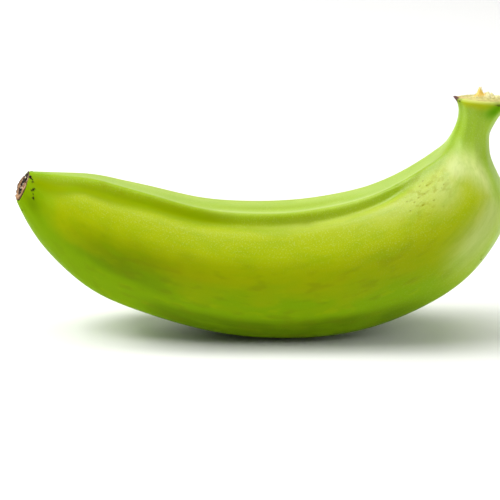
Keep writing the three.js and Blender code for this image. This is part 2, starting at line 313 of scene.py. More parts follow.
def addPiece(name, vertices, faces):
    # A smooth object of vertices in mm, left at the origin.
    mesh = bpy.data.meshes.new(name)
    mesh.from_pydata((vertices * mm).tolist(), [], faces)
    mesh.polygons.foreach_set("use_smooth", [True] * len(mesh.polygons))
    piece = bpy.data.objects.new(name, mesh)
    bpy.context.scene.collection.objects.link(piece)
    print(name, "has", len(faces), "faces")
    return piece


def ringFaces(count, columns):
    # Quads between neighbouring rings and triangles to the pole at each end. The vertices are the
    # first pole, the rings one after another and the last pole.
    row = np.arange(count - 1)[:, None] * columns + 1
    column = np.arange(columns)
    after = (column + 1) % columns
    quads = np.stack([row + column, row + after, row + columns + after, row + columns + column], -1)
    tail, last = (count - 1) * columns + 1, count * columns + 1
    first = np.stack([0 * column, after + 1, column + 1], -1)
    return quads.reshape(-1, 4), first, np.stack([tail + column, tail + after, 0 * column + last], -1)


def closedVertices(rings):
    # The rings' points with the middle of the first and of the last ring as poles.
    return np.concatenate([rings[:1].mean(1), rings.reshape(-1, 3), rings[-1:].mean(1)])


def ringPiece(name, rings, attributes):
    # A closed surface through rings of points, with values at its points, the same round a pole.
    faces = [face for part in ringFaces(*rings.shape[:2]) for face in part.tolist()]
    piece = addPiece(name, closedVertices(rings), faces)
    for label, values in attributes.items():
        flat = np.concatenate([values[:1, 0], values.reshape(-1, *values.shape[2:]), values[-1:, 0]])
        kind, field = ("FLOAT_VECTOR", "vector") if flat.ndim == 2 else ("FLOAT", "value")
        attribute = piece.data.attributes.new(label, kind, "POINT")
        attribute.data.foreach_set(field, flat.astype(np.float32).ravel())
    piece.data.update()
    return piece


def surfaceNormals(points):
    # Across the columns times along the rings; it points out of the fruit.
    around = np.roll(points, -1, axis=1) - np.roll(points, 1, axis=1)
    along = np.gradient(points, axis=0)
    normals = np.cross(around, along)
    return normals / np.maximum(np.linalg.norm(normals, axis=-1, keepdims=True), 1e-9)


peel = {
    "rings": 470,
    "columns": 204,
    "endCrowding": 0.42,
    "crestCrowding": 0.72,
    "swell": (0.32, 26),      # height and size of the body's slow unevenness, mm
    "ripple": (0.10, 9),      # and of the quicker one
    "tipCreases": (0.05, 13),  # height and number of the creases that run into the tip
    "neckRibs": (0.12, 9),     # and of the ribs up the neck
    # flaws: place along the axis, angle, half length, half width in mm, height
    "dent": (119.4, 31, 2.6, 1.8, -0.35),
    "nick": (164.2, 15, 3.0, 0.55, -0.40),
    "scabs": [
        (0.4, 28, 0.8, 0.8), (1.0, 33, 0.4, 0.35), (1.5, 36, 0.35, 0.3), (2.0, 42, 0.4, 0.3),
        (1.6, 46, 0.3, 0.25), (3.2, 60, 0.45, 0.4), (2.75, 64, 0.5, 0.45), (2.3, 68, 0.45, 0.4),
        (3.2, 74, 0.3, 0.3), (3.9, 83, 0.5, 0.5), (3.5, 85, 0.3, 0.3), (1.2, 344, 0.7, 0.5),
        (2.2, 300, 0.6, 0.5), (1.6, 215, 0.8, 0.5), (2.4, 150, 0.5, 0.4), (227.9, 27, 0.45, 0.55),
        (228.2, 112, 0.35, 1.1), (227.9, 119, 0.4, 0.6), (181.6, 130, 0.3, 0.3), (180.9, 133, 0.3, 0.3),
    ],
    "scabHeight": 0.16,
    "soleSoftness": 0.3,
    # edge of the skin at each end, from the last ring inwards: share of the radius, height
    "stemLip": [(0.985, 0.28), (0.955, 0.40), (0.92, 0.28), (0.88, -0.10), (0.6, -0.6), (0.3, -0.7)],
    "tipLip": [(0.97, 0.10), (0.93, 0.05), (0.86, -0.25), (0.6, -0.5), (0.3, -0.5)],
}


def spotShare(places, angles, radii, place, angle, halfLength, halfWidth):
    # A soft oval spot on the skin, 1 at its middle.
    along = (places[:, None] - place) / halfLength
    around = np.radians(degreesApart(angles, angle)) * radii / halfWidth
    return bell(np.hypot(along, around))


def straightened(places, angles, radii):
    # The fruit laid straight: x along its axis, y and z round it, all in mm. Patterns follow it.
    turn = np.radians(angles)
    along = np.broadcast_to(places[:, None], angles.shape)
    return np.stack([along, radii * np.cos(turn), radii * np.sin(turn)], -1)


def endCapRings(place, profile, outward, angles):
    # Rings across one end: each is the end's section shrunk to a share and moved out by a height.
    end = endFrame(place)
    offset = skinOffsets(np.array([place]), angles[None])[0]
    share, height = np.array(profile).T[:, :, None, None]
    return end["centre"] + offset * share + outward * height * end["out"]


def cornerShare(angles, fromEnd, depth):
    # The torn corner on the inner side of the stem cut: 1 at its point, 0 away from it.
    across = np.clip(1 - np.abs(degreesApart(angles, 0)) / fruit["tornCornerWidth"], 0, 1)
    return across * np.clip(1 - fromEnd / depth, 0, 1) ** 1.5


def tearCorner(points, angles, fromEnd):
    # Pulls the corner towards the inner side and out along the axis, as strongly as its share.
    pull = fruit["tornCornerReach"] * stemEnd["inner"] + fruit["tornCornerRise"] * stemEnd["out"]
    return points + cornerShare(angles, fromEnd, fruit["tornCornerDepth"])[..., None] * pull


def raiseFront(points, share):
    # The front of the cut stands higher and a little further in, so that the peel's edge slopes
    # there: both grow as an S-curve from the back to the front, times the share.
    offset = points - stemEnd["centre"]
    raised = share * smoothStep(*fruit["lipFront"], offset @ stemEnd["front"])
    return points + raised[..., None] * (fruit["lipRise"] * stemEnd["out"] - fruit["lipInset"] * offset)


def makePeel():
    # The section's offsets at rings along the axis, moved along the skin's normals by the relief:
    # noise, sines round the tip and the neck, and bells for the flaws.
    share = np.linspace(0, 1, peel["rings"])
    places = axisLength * (share - peel["endCrowding"] * np.sin(2 * np.pi * share) / (2 * np.pi))
    angles = columnAngles(places, peel["columns"])
    offsets = skinOffsets(places, angles)
    radii = np.linalg.norm(offsets, axis=-1)
    points = axisPoints(places)[:, None] + offsets
    laid = straightened(places, angles, radii)
    normals = surfaceNormals(points)
    place, fromStem = places[:, None], axisLength - places[:, None]

    # relief: slow unevenness, creases that run into the tip, ribs up the neck, flaws and scabs
    body = smoothStep(0, 25, place) * smoothStep(8, 40, fromStem)
    swell, swellSize = peel["swell"]
    ripple, rippleSize = peel["ripple"]
    height = swell * latticeNoise(laid * [0.6, 1, 1], swellSize, 3) * body
    height += ripple * latticeNoise(laid * [0.5, 1, 1], rippleSize, 4) * (0.35 + 0.65 * body)
    turn = np.radians(angles)
    crease, creases = peel["tipCreases"]
    crease = crease * np.sin(creases * turn + 2.2 * latticeNoise(laid, 7, 5))
    height += crease * within(place, (0, 2), (1, 14))
    rib, ribs = peel["neckRibs"]
    rib = rib * np.sin(ribs * turn + 1.5 * latticeNoise(laid * [0.3, 1, 1], 5, 6))
    height += rib * within(fromStem, (0, 2.5), (12, 30))
    for *flaw, depth in (peel["dent"], peel["nick"]):
        height += depth * spotShare(places, angles, radii, *flaw)
    scab = np.zeros(angles.shape)
    ragged = 1 + 0.35 * latticeNoise(laid, 0.7, 7)
    for flaw in peel["scabs"]:
        scab = np.maximum(scab, smoothStep(0.35, 0.6, spotShare(places, angles, radii * ragged, *flaw)))
    height += peel["scabHeight"] * scab
    points = tearCorner(points + normals * height[..., None], angles, fromStem)

    # the ends close under the scar and under the cut
    tipRings = endCapRings(0, peel["tipLip"], -1, angles[0])[::-1]
    stemRings = endCapRings(axisLength, peel["stemLip"], 1, angles[-1])
    stemDepth = np.array([[(1 - lipShare) * fruit["cutRadius"]] for lipShare, _ in peel["stemLip"]])
    stemRings = raiseFront(stemRings, (stemDepth / stemDepth[1]).clip(0, 1))
    stemRings = tearCorner(stemRings, angles[-1], stemDepth)
    rings = placeInFrame(np.concatenate([tipRings, points, stemRings]))

    # the sole flattens softly where the fruit rests
    rise = rings[..., 2]
    rings[..., 2] = (rise + np.sqrt(rise ** 2 + peel["soleSoftness"] ** 2)) / 2
    before, after = len(tipRings), len(stemRings)

    def spread(values):
        # The end caps carry on the value of the ring that they join.
        return np.concatenate([np.repeat(values[:1], before, 0), values, np.repeat(values[-1:], after, 0)])

    tones = peelTones(places, angles, radii, laid)
    tones["straight"] = laid
    tones["scab"] = scab * np.where(fromStem < 20, 0.8, 1)
    fromCorner = np.abs(degreesApart(angles, 0))
    lip = (1 - smoothStep(0.5, 4.0, fromStem)) * (0.2 + 0.8 * smoothStep(25, 50, fromCorner))
    tones["lip"] = lip * (1 - 0.5 * bell(degreesApart(angles, 122) / 22))
    tones["edge"] = np.zeros(angles.shape)
    attributes = {label: spread(values) for label, values in tones.items()}
    attributes["scab"][-after:] *= 0.3
    attributes["edge"][-after:] = 1
    attributes["edge"][-after] = 0.3
    return ringPiece("plantain_peel", rings, attributes)


# Where the tones of the skin lie: borders from none to full, and windows of a rising and a falling
# border. Places along the axis and distances from the stem are in mm, turns and the way down from
# the top in degrees.
colouring = {
    "patches": (20, 8, 6),       # two sizes of the borders' unevenness in mm, and their turn
    "streaks": (5, 2.5, 9),      # the same of the deep green's raggedness
    "shoulder": (148, 188),
    "yellow": ((14, 34), (8, 18), (20, 32)),      # down, place, distance from the stem
    "olive": ((50, 82), (15, 45)),                # down, place
    "deep": (80, 116),
    "deepTip": (3, 13),
    "sole": ((110, 130), (45, 75), (140, 175)),   # painted shade along the sole where the fruit rests: down and a window of places
    "shade": (47, 24, (58, 88), (102, 120)),      # painted shade on the lower front of the belly: place, length and a window of the way down
    "soleTip": (4, 5, 98, 22),                    # place, length, turn, width
    "fresh": ((18, 28), (92, 112)),               # distance from the stem, down on the shoulder
    # painted shade in the hollow under the cut's lip: turn, width and a window of distances from the stem
    "undercutShade": (120, 24, (-0.5, 0.6), (2.5, 7.5)),
    # painted shade on the sides of the neck's foot: turn, width and a border of places
    "neckSideShade": (24, 15, (196, 208)),
    # painted shade in the furrow below the upper crest: turn and width, both greater at the tip, and where it
    # fades
    "troughShade": (27, 12),
    "troughOpening": ((8, 26), 12, 9),
    "troughNarrow": (3, (30, 60), (80, 100)),
    "troughCrisp": ((80, 95), (130, 145)),
    "troughFade": ((-2, 5), (75, 95), (118, 138)),
    # its thin end that runs on into the neck: places, turns, half width and a window of places
    "seamShade": ((158, 165, 172, 179, 185, 196, 203, 208), (19, 21, 20, 14, 12, 11, 19, 33), 5,
             (156, 166), (200, 212)),
    "middle": (1, 7, (72, 86), (122, 150)),       # painted shade in the shallow hollow in the middle of the upper face
    # painted highlights in the pale colour: the foot of the neck, its flank, the shoulder's back edge, a band
    # along the upper furrow and the crests
    "shelfHighlight": (199, 7.5, (20, 45), (100, 130)),
    "flank": ((50, 72), 4.5, 1.5),
    "backEdgeHighlight": (112, 16, (165, 185), (24, 34)),
    "sheen": (31, 6, (80, 125), (150, 166)),
    "crest": (15, 4.5, (72, 86), (135, 160)),
    "farCrestHighlight": (-15, 5.5, (25, 50), (130, 160), (28, 45)),
    "gloss": ((32, 84), (120, 165), (-12, 22), (-4, 8)),
    # bells: place, length, turn, width, strength
    # painted shade at the foot of the neck
    "neckFootShade": (210, 6.5, 35, 28, 0.55),
    "matt": [(208, 9, 38, 25, 0.6), (180, 7, 38, 11, 0.3), (176, 20, 92, 20, 0.6)],
    # spots: place, angle, half length, half width, strength
    # painted highlights: a sheen on the shoulder and a glint on the upper face
    "highlightSpots": [(186, 54, 10, 6, 0.55), (133.3, 7.2, 3.6, 0.5, 0.8)],
    "soleSpots": [(164.2, 15, 3.2, 0.55, 0.6)],
    "speckles": [(177, 40, 15, 9, 1), (36, 13, 16, 3, 0.6), (183, 143, 8, 6, 0.5)],
    "bruise": (73, 79, 17, 7),
    "corner": (0.08, 0.4, 4.5),
}


def peelTones(places, angles, radii, laid):
    # How strong each tone is at each point, 0 to 1: products of borders, windows and bells, the
    # strongest of each tone's parts.
    tone = colouring
    place = places[:, None]
    fromStem = axisLength - place
    turned = np.abs(degreesApart(angles, 0))
    frontSide = 0.35 + 0.65 * smoothStep(-0.3, 0.3, np.sin(np.radians(angles)))

    def blot(middle, length, turn, width, strength=1):
        return strength * bell((place - middle) / length) * bell((turned - turn) / width)

    def spots(label):
        shares = [strength * spotShare(places, angles, radii, *spot) for *spot, strength in tone[label]]
        return np.maximum.reduce(shares)

    def ridgeBand(turn, width, rise, fall):
        # A bell round the section within a window along it.
        return bell(degreesApart(angles, turn) / width) * within(place, rise, fall)

    size, smallSize, patchTurn = tone["patches"]
    long = laid * [0.5, 1, 1]
    patches = latticeNoise(long, size, 11) + 0.5 * latticeNoise(long, smallSize, 12)
    size, smallSize, streakTurn = tone["streaks"]
    long = laid * [0.4, 1, 1]
    streaks = latticeNoise(long, size, 14) + 0.35 * latticeNoise(long, smallSize, 15)
    down = turned + patchTurn * patches
    shoulder = smoothStep(*tone["shoulder"], place + 4 * patches)

    # yellow belly, olive below it
    borderDown, borderPlace, borderStem = tone["yellow"]
    yellow = smoothStep(*borderDown, down) * smoothStep(*borderPlace, place + 3 * patches)
    yellow = yellow * smoothStep(*borderStem, fromStem)
    borderDown, borderPlace = tone["olive"]
    olive = smoothStep(*borderDown, down) * (0.35 + 0.65 * smoothStep(*borderPlace, place))
    olive = olive * (1 - 0.8 * shoulder)

    # deep green below and at the tip, partly painted shade towards the bottom, and painted shade at the foot
    # and sides of the neck;
    # the darkest tone is painted shade along the sole and on the lower front of the belly, with darker spots
    # at the tip's front and on the nick
    turn, width, borderPlace = tone["neckSideShade"]
    neckSideShade = bell((turned - turn) / width) * smoothStep(*borderPlace, place)
    deep = smoothStep(*tone["deep"], down + streakTurn * streaks) * (1 - 0.75 * shoulder)
    deepTip = 0.75 * (1 - smoothStep(*tone["deepTip"], place + 2 * patches))
    deep = np.maximum.reduce([deep, deepTip, blot(*tone["neckFootShade"]), 0.7 * neckSideShade])
    borderDown, rise, fall = tone["sole"]
    sole = smoothStep(*borderDown, down) * within(place, rise, fall)
    middle, length, rise, fall = tone["shade"]
    shade = bell((place - middle) / length) * within(down, rise, fall)
    middle, length, turn, width = tone["soleTip"]
    soleTip = bell((place - middle) / length) * bell(degreesApart(angles, turn) / width)
    sole = np.maximum.reduce([sole, 0.65 * shade * frontSide, 0.5 * soleTip, spots("soleSpots")])

    # fresh green neck and a lighter green on the lower side of the shoulder; painted shade in the hollow
    # under the cut
    borderStem, borderDown = tone["fresh"]
    fresh = np.maximum(1 - smoothStep(*borderStem, fromStem), smoothStep(*borderDown, down) * shoulder)
    fresh = fresh * (1 - 0.6 * neckSideShade)
    turn, width, rise, fall = tone["undercutShade"]
    undercutShade = bell(degreesApart(angles, turn) / width) * within(fromStem, rise, fall)

    # painted shade in the furrow below the upper crest, in its seam up to the neck and in the middle of the
    # upper face
    border, shift, spread = tone["troughOpening"]
    opening = 1 - smoothStep(*border, place)
    narrowing, rise, fall = tone["troughNarrow"]
    narrow = narrowing * within(place, rise, fall)
    crisp = within(place, *tone["troughCrisp"])
    turn, width = tone["troughShade"]
    turn = turn + crisp + shift * opening - narrow
    width = width - crisp + spread * opening - narrow
    troughShade = bell((turned - turn) / width)
    tipFade, bodyFade, shoulderFade = tone["troughFade"]
    troughShade = troughShade * smoothStep(*tipFade, place)
    troughShade = troughShade * (1 - 0.45 * smoothStep(*bodyFade, place) - 0.55 * smoothStep(*shoulderFade, place))
    seamPlaces, seamTurns, width, rise, fall = tone["seamShade"]
    seamShade = bell((turned - np.interp(place, seamPlaces, seamTurns)) / width) * within(place, rise, fall)
    troughShade = np.maximum(frontSide * troughShade, 0.55 * frontSide * seamShade)
    troughShade = np.maximum(troughShade, 0.45 * ridgeBand(*tone["middle"]))

    # gloss: most on top and on the shoulder, none in the band and under the cut
    borderDown, borderPlace, tipBorder, stemBorder = tone["gloss"]
    gloss = 1 - 0.85 * smoothStep(*borderDown, down) * (1 - 0.25 * shoulder)
    gloss = gloss * (0.45 + 0.55 * smoothStep(*borderPlace, place))
    gloss = gloss * smoothStep(*tipBorder, place) * smoothStep(*stemBorder, fromStem)
    gloss = gloss * (1 - 0.95 * troughShade) * (1 - undercutShade) * (1 - 0.5 * neckSideShade)
    for row in tone["matt"]:
        gloss = gloss * (1 - blot(*row))

    # painted highlights in the pale colour
    border, shift, spread = tone["flank"]
    flank = smoothStep(*border, turned)
    middle, length, rise, fall = tone["shelfHighlight"]
    shelfHighlight = bell((place - middle - shift * flank) / (length - spread * flank)) * within(turned, rise, fall)
    turn, width, borderPlace, borderStem = tone["backEdgeHighlight"]
    backEdgeHighlight = bell(degreesApart(angles, turn) / width) * smoothStep(*borderPlace, place)
    backEdgeHighlight = backEdgeHighlight * smoothStep(*borderStem, fromStem)
    turn, width, rise, fall = tone["sheen"]
    sheen = bell((turned - turn) / width) * within(place, rise, fall)
    turn, width, rise, fall, borderStem = tone["farCrestHighlight"]
    farCrestHighlight = bell(degreesApart(angles, turn) / width) * smoothStep(*rise, place)
    farCrestHighlight = farCrestHighlight * (1 - 0.6 * smoothStep(*fall, place)) * smoothStep(*borderStem, fromStem)
    crest = np.maximum(ridgeBand(*tone["crest"]), farCrestHighlight)
    lights = [shelfHighlight, 0.75 * backEdgeHighlight, 0.22 * frontSide * sheen, 0.28 * crest, spots("highlightSpots")]

    bruise = spotShare(places, angles, radii, *tone["bruise"]) * (0.6 + 0.4 * latticeNoise(laid, 4, 13))
    cornerLow, cornerHigh, cornerDepth = tone["corner"]
    corner = smoothStep(cornerLow, cornerHigh, cornerShare(angles, fromStem, cornerDepth))
    # pale holds the painted highlights; the sole's, the furrow's and the undercut's tones are painted shade
    return {"yellow": yellow, "olive": olive, "deep": deep, "sole": sole, "fresh": fresh,
            "pale": np.maximum.reduce(lights), "speckle": spots("speckles"), "gloss": gloss,
            "bruise": np.clip(bruise, 0, 1), "corner": corner, "troughShade": troughShade, "undercutShade": undercutShade}


peelPiece = makePeel()


scar = {
    "columns": 120,
    "rings": 56,
    # share of the tip's radius and height above it, from under the edge to the middle
    "profile": [(0.66, -0.45), (0.84, -0.2), (0.93, 0.1), (0.95, 0.45), (0.89, 0.9), (0.8, 0.95), (0.7, 0.6),
                (0.56, 0.15), (0.38, -0.05), (0.2, 0.2), (0.06, 0.35)],
    "shift": 0.5,         # of the whole scar towards the inner side, mm
    "tilt": 0.85,         # share by which the rim is lower there
    "ragged": 0.4,        # how far the rim wanders, mm
    "crumb": 0.55,        # height of the crumbs and of the grit, mm
    "grit": 0.20,
}


def profileRings(profile, count):
    # Share and height at even steps along the profile, on a natural spline.
    rows = np.array(profile, float)
    steps = np.concatenate([[0], np.cumsum(np.linalg.norm(np.diff(rows * [6, 1], axis=0), axis=1))])
    return naturalSpline(steps, rows, np.linspace(0, steps[-1], count))


def makeScar():
    # The profile turned round the tip, its rim lowered on the inner side, and crumbled: noise
    # moves the rim in and out and the face up and down.
    angles = np.linspace(0, 360, scar["columns"], endpoint=False)
    rows = profileRings(scar["profile"], scar["rings"])
    rings = endCapRings(0, rows, -1, angles) + scar["shift"] * tipEnd["inner"]
    share = np.repeat(rows[:, :1], len(angles), 1)
    exposed = smoothStep(6, 12, np.arange(len(rows))[:, None])
    lowered = scar["tilt"] * ((1 + np.cos(np.radians(angles))) / 2) ** 2
    rings = rings + tipEnd["out"] * (np.clip(rows[:, 1:], 0, None) * lowered)[..., None]
    outline = scar["ragged"] * latticeNoise(rings, 2.2, 21)
    crumbs = scar["crumb"] * latticeNoise(rings, 1.1, 22) + scar["grit"] * latticeNoise(rings, 0.5, 23)
    hollow = 1 - smoothStep(0.45, 0.8, share)
    front = np.broadcast_to((1 + np.sin(np.radians(angles))) / 2, crumbs.shape)
    crumbs = crumbs * (0.9 - 0.55 * front + 0.7 * hollow)
    outline = outline * smoothStep(0.7, 1, share) * exposed
    rings = rings + unit(rings - tipEnd["centre"]) * outline[..., None]
    rings = rings - tipEnd["out"] * (crumbs * exposed)[..., None]
    height = -((rings - tipEnd["centre"]) @ tipEnd["out"])
    # the rings run from under the rim to the middle of the face, so they are turned round
    attributes = {"share": share[::-1], "height": height[::-1], "front": front[::-1]}
    return ringPiece("blossom_scar", placeInFrame(rings)[::-1], attributes)


scarPiece = makeScar()


cut = {
    "columns": 140,
    "rings": 64,
    "profile": [(0.86, -0.5), (0.93, -0.25), (0.945, 0.12), (0.92, 0.42), (0.85, 0.42), (0.7, 0.5),
                (0.55, 0.42), (0.4, 0.55), (0.25, 0.5), (0.1, 0.55), (0.03, 0.55)],
    "ringSpacing": 1.15,  # growth rings, mm: how far apart, how high and how wavy
    "ringHeight": 0.12,
    "ringWobble": 0.64,
    "grit": 0.14,
    # torn tufts in mm: towards the inner side, towards the front, height, spread
    "tufts": [(2.1, 0.2, 4.1, 1.6), (-0.4, -0.2, 2.7, 2.2), (-2.4, -1.0, 2.0, 2.2),
              (-5.0, -2.4, 1.2, 2.4), (4.2, -0.8, 0.7, 2.0)],
}


def tuftHeights(offset, tufts):
    # Torn tufts on the cut face: height * exp(-(distance / spread) to the power 1.5), the highest wins.
    alongInner, alongFront = offset @ stemEnd["inner"], offset @ stemEnd["front"]
    height = np.zeros(offset.shape[:-1])
    for towardInner, towardFront, top, spread in tufts:
        away = np.hypot(alongInner - towardInner, alongFront - towardFront) / spread
        height = np.maximum(height, top * np.exp(-away ** 1.5))
    return height


def makeCut():
    # The profile turned round the stem's end, with wavy growth rings, grit and the torn tufts.
    angles = np.linspace(0, 360, cut["columns"], endpoint=False)
    rows = profileRings(cut["profile"], cut["rings"])
    rings = endCapRings(axisLength, rows, 1, angles)
    share = np.repeat(rows[:, :1], len(angles), 1)
    exposed = smoothStep(8, 14, np.arange(len(rows))[:, None])
    offset = rings - stemEnd["centre"]
    radius = np.linalg.norm(offset, axis=-1)
    tuft = tuftHeights(offset, cut["tufts"])
    spike = tuftHeights(offset, cut["tufts"][:1]) / cut["tufts"][0][2]
    fluff = tuftHeights(offset, cut["tufts"][1:]) / cut["tufts"][1][2]
    wobble = cut["ringWobble"] * latticeNoise(rings, 2.4, 31)
    relief = cut["ringHeight"] * np.sin(2 * np.pi * (radius + wobble) / cut["ringSpacing"])
    relief += cut["grit"] * (latticeNoise(rings, 0.55, 32) + 0.5 * latticeNoise(rings, 1.6, 33))
    ragged = 1 + 0.5 * latticeNoise(rings * [1, 1, 0.3], 0.8, 34)
    rings = rings + stemEnd["out"] * ((relief + tuft * ragged) * exposed)[..., None]
    depth = (1 - share) * fruit["cutRadius"]
    rings = tearCorner(raiseFront(rings, 1.0), angles, depth)
    attributes = {"share": share, "spike": spike, "fluff": fluff, "corner": cornerShare(angles, depth, 5.0)}
    return ringPiece("stem_cut", placeInFrame(rings), attributes)


cutPiece = makeCut()


fibres = {
    "count": 130,
    "sides": 6,
    "steps": 7,
    "thickness": (0.09, 0.24),  # radius, mm
    "length": (0.8, 2.3),       # mm, before the tuft's own height counts
    "flatness": 1.7,            # width over thickness
    "sink": 0.6,                # how deep a strand is rooted, mm
    "seed": 41,
}


def makeFibres():
    # Short tapering strands that lean every way: a flat oval carried along a line that bends as
    # the square of the way up it.
    draw = np.random.default_rng(fibres["seed"])
    inner, side, up = stemEnd["inner"], stemEnd["front"], stemEnd["out"]
    tufts = np.array(cut["tufts"])
    weights = tufts[:, 2] / tufts[:, 2].sum()
    way = np.linspace(0, 1, fibres["steps"])[:, None]
    turn = np.linspace(0, 2 * np.pi, fibres["sides"], endpoint=False)[:, None]
    oval = np.cos(turn) * inner + fibres["flatness"] * np.sin(turn) * side
    strandFaces = ringFaces(fibres["steps"], fibres["sides"])
    vertices, faces = [], []
    for strand in range(fibres["count"]):
        tuft = tufts[draw.choice(len(tufts), p=weights)]
        around = draw.uniform(0, 2 * np.pi)
        away = tuft[3] * draw.uniform(0.1, 0.9)
        outward = np.cos(around) * inner + np.sin(around) * side
        root = tuft[0] * inner + tuft[1] * side + away * outward
        ground = tuftHeights(root, cut["tufts"]) - fibres["sink"]
        lean = unit(up + 0.45 * outward * draw.uniform(0, 1))
        length = draw.uniform(*fibres["length"]) * (0.5 + tuft[2] / 8)
        bend = draw.uniform(-0.5, 0.5) * side + draw.uniform(-0.5, 0.5) * inner
        line = stemEnd["centre"] + root + up * ground + length * (lean * way + bend * way ** 2 / 2)
        thick = draw.uniform(*fibres["thickness"]) * (1 - 0.85 * way) * (1 + 0.2 * np.sin(9 * way))
        rings = (line[:, None] + thick[..., None] * oval).reshape(-1, 3)
        start = strand * (len(rings) + 2)
        vertices.append(np.concatenate([line[:1] - up * 0.1, rings, line[-1:] + lean * 0.12]))
        faces += [face for part in strandFaces for face in (part + start).tolist()]
    return addPiece("torn_fibres", placeInFrame(np.concatenate(vertices)), faces)


fibrePiece = makeFibres()


def hexColour(text):
    # An sRGB hex colour as linear RGBA.
    srgb = np.array([int(text[i:i + 2], 16) for i in (1, 3, 5)]) / 255
    linear = np.where(srgb <= 0.04045, srgb / 12.92, ((srgb + 0.055) / 1.055) ** 2.4)
    return (*linear.tolist(), 1.0)


def newMaterial(name):
    # A material of one shader, its node tree and the shader.
    material = bpy.data.materials.new(name)
    material.use_nodes = True
    tree = material.node_tree
    tree.nodes.clear()
    shader = tree.nodes.new("ShaderNodeBsdfPrincipled")
    output = tree.nodes.new("ShaderNodeOutputMaterial")
    tree.links.new(shader.outputs[0], output.inputs["Surface"])
    return material, tree, shader


def addNode(tree, kind, inputs, output=0, **settings):
    # Adds a node, sets it, fills its inputs with values or links, and gives back one output.
    node = tree.nodes.new("ShaderNode" + kind)
    for label, value in settings.items():
        setattr(node, label, value)
    for label, value in inputs.items():
        if isinstance(value, bpy.types.NodeSocket):
            tree.links.new(value, node.inputs[label])
        else:
            node.inputs[label].default_value = value
    return node.outputs[output]


def moisten(shader, share, radius, scale):
    # Light that sinks in and comes out nearby; the radius of red, green and blue times scale in mm.
    shader.inputs["Subsurface Weight"].default_value = share
    shader.inputs["Subsurface Radius"].default_value = radius
    shader.inputs["Subsurface Scale"].default_value = scale * mm


def shareOf(tree, *reaches, most=1.0):
    # The product of soft shares. Each reach is a value and the span over which its share goes
    # smoothly from 0 to 1, or None where the value is the share itself.
    share = most
    for value, span in reaches:
        if span:
            border = {"Value": value, "From Min": span[0], "From Max": span[1]}
            value = addNode(tree, "MapRange", border, interpolation_type="SMOOTHSTEP")
        share = addNode(tree, "Math", {0: value, 1: share}, operation="MULTIPLY")
    return share


def paint(tree, below, text, *reaches, most=1.0):
    # Lays a hex colour over the colour below, as strongly as the reaches say.
    share = shareOf(tree, *reaches, most=most)
    return addNode(tree, "Mix", {0: share, 6: below, 7: hexColour(text)}, 2, data_type="RGBA")


